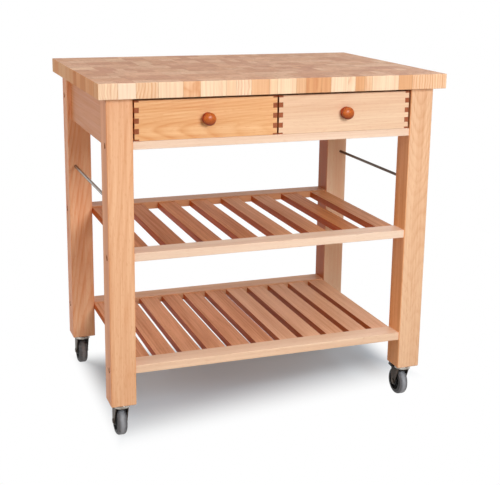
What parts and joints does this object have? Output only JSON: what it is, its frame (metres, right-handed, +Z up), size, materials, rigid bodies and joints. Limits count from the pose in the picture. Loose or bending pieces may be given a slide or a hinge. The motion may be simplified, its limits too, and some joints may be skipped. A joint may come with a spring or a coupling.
{
  "type": "kitchen cart",
  "caption": "Rolling kitchen cart: end-grain butcher-block worktop, finger-jointed drawers with round knobs, slatted shelves, towel rods and swivel castors.",
  "frame": {"origin": "on the floor, under the middle of the worktop", "axes": "+Z up, the drawers and the brake castors face -Y, +X to the right as seen from the front"},
  "size_m": [0.914, 0.6225, 0.912],
  "materials": {
    "end_grain": "oiled end-grain block",
    "frame_wood": "satin lacquered beech",
    "slat_wood": "satin lacquered beech, darker",
    "drawer_left_wood": "satin lacquered, plain sawn",
    "drawer_right_wood": "satin lacquered, plain sawn",
    "drawer_side_wood": "satin lacquered, reddish end grain",
    "panel_wood": "thin plywood panel",
    "inner_wood": "planed softwood",
    "knob_wood": "varnished, reddish orange",
    "stainless": "satin drawn rod",
    "bolt_steel": "zinc plated",
    "castor_steel": "bright zinc plated pressing",
    "castor_tyre": "grey tread on a moulded hub",
    "pedal_black": "black painted"
  },
  "bodies": {
    "frame": {"apron_back": "frame_wood", "apron_left": "frame_wood", "apron_right": "frame_wood", "castor_stems": "castor_steel", "drawer_rail": "frame_wood", "drawer_runners": "inner_wood", "frame_bolts": "bolt_steel", "leg_back_left": "frame_wood", "leg_back_right": "frame_wood", "leg_front_left": "frame_wood", "leg_front_right": "frame_wood", "lower_back_rail": "frame_wood", "lower_front_rail": "frame_wood", "lower_slat_1": "slat_wood", "lower_slat_10": "slat_wood", "lower_slat_11": "slat_wood", "lower_slat_2": "slat_wood", "lower_slat_3": "slat_wood", "lower_slat_4": "slat_wood", "lower_slat_5": "slat_wood", "lower_slat_6": "slat_wood", "lower_slat_7": "slat_wood", "lower_slat_8": "slat_wood", "lower_slat_9": "slat_wood", "towel_rod_left": "stainless", "towel_rod_right": "stainless", "upper_back_rail": "frame_wood", "upper_front_rail": "frame_wood", "upper_slat_1": "slat_wood", "upper_slat_2": "slat_wood", "upper_slat_3": "slat_wood", "upper_slat_4": "slat_wood", "upper_slat_5": "slat_wood", "upper_slat_6": "slat_wood", "upper_slat_7": "slat_wood", "upper_slat_8": "slat_wood", "worktop": "end_grain", "worktop_screws": "bolt_steel"},
    "brake_pedal_front_left": {"brake_pedal_front_left": "pedal_black"},
    "brake_pedal_front_right": {"brake_pedal_front_right": "pedal_black"},
    "castor_back_left_fork": {"castor_back_left_fork": "castor_steel"},
    "castor_back_left_wheel": {"castor_back_left_wheel": "castor_tyre"},
    "castor_back_right_fork": {"castor_back_right_fork": "castor_steel"},
    "castor_back_right_wheel": {"castor_back_right_wheel": "castor_tyre"},
    "castor_front_left_fork": {"castor_front_left_fork": "castor_steel"},
    "castor_front_left_wheel": {"castor_front_left_wheel": "castor_tyre"},
    "castor_front_right_fork": {"castor_front_right_fork": "castor_steel"},
    "castor_front_right_wheel": {"castor_front_right_wheel": "castor_tyre"},
    "drawer_left": {"drawer_left_back": "drawer_side_wood", "drawer_left_bottom": "panel_wood", "drawer_left_front": "drawer_left_wood", "drawer_left_inner_side": "drawer_side_wood", "drawer_left_knob": "knob_wood", "drawer_left_outer_side": "drawer_side_wood"},
    "drawer_right": {"drawer_right_back": "drawer_side_wood", "drawer_right_bottom": "panel_wood", "drawer_right_front": "drawer_right_wood", "drawer_right_inner_side": "drawer_side_wood", "drawer_right_knob": "knob_wood", "drawer_right_outer_side": "drawer_side_wood"}
  },
  "joints": [
    {"name": "drawer_left_slide", "type": "slide", "parent": "frame", "child": "drawer_left", "axis": [0, -1, 0], "range_m": [0, 0.4]},
    {"name": "drawer_right_slide", "type": "slide", "parent": "frame", "child": "drawer_right", "axis": [0, -1, 0], "range_m": [0, 0.4]},
    {"name": "castor_front_left_swivel", "type": "hinge", "parent": "frame", "child": "castor_front_left_fork", "pos_m": [-0.402, -0.254, 0.09], "axis": [0, 0, 1], "continuous": true},
    {"name": "castor_front_left_roll", "type": "hinge", "parent": "castor_front_left_fork", "child": "castor_front_left_wheel", "pos_m": [-0.402, -0.234, 0.0375], "axis": [1, 0, 0], "continuous": true},
    {"name": "brake_pedal_front_left_press", "type": "hinge", "parent": "castor_front_left_fork", "child": "brake_pedal_front_left", "pos_m": [-0.402, -0.242, 0.08], "axis": [1, 0, 0], "range_deg": [-6, 0]},
    {"name": "castor_front_right_swivel", "type": "hinge", "parent": "frame", "child": "castor_front_right_fork", "pos_m": [0.402, -0.254, 0.09], "axis": [0, 0, 1], "continuous": true},
    {"name": "castor_front_right_roll", "type": "hinge", "parent": "castor_front_right_fork", "child": "castor_front_right_wheel", "pos_m": [0.402, -0.234, 0.0375], "axis": [1, 0, 0], "continuous": true},
    {"name": "brake_pedal_front_right_press", "type": "hinge", "parent": "castor_front_right_fork", "child": "brake_pedal_front_right", "pos_m": [0.402, -0.242, 0.08], "axis": [1, 0, 0], "range_deg": [-6, 0]},
    {"name": "castor_back_left_swivel", "type": "hinge", "parent": "frame", "child": "castor_back_left_fork", "pos_m": [-0.402, 0.254, 0.09], "axis": [0, 0, 1], "continuous": true},
    {"name": "castor_back_left_roll", "type": "hinge", "parent": "castor_back_left_fork", "child": "castor_back_left_wheel", "pos_m": [-0.402, 0.274, 0.0375], "axis": [1, 0, 0], "continuous": true},
    {"name": "castor_back_right_swivel", "type": "hinge", "parent": "frame", "child": "castor_back_right_fork", "pos_m": [0.402, 0.254, 0.09], "axis": [0, 0, 1], "continuous": true},
    {"name": "castor_back_right_roll", "type": "hinge", "parent": "castor_back_right_fork", "child": "castor_back_right_wheel", "pos_m": [0.402, 0.274, 0.0375], "axis": [1, 0, 0], "continuous": true}
  ]
}
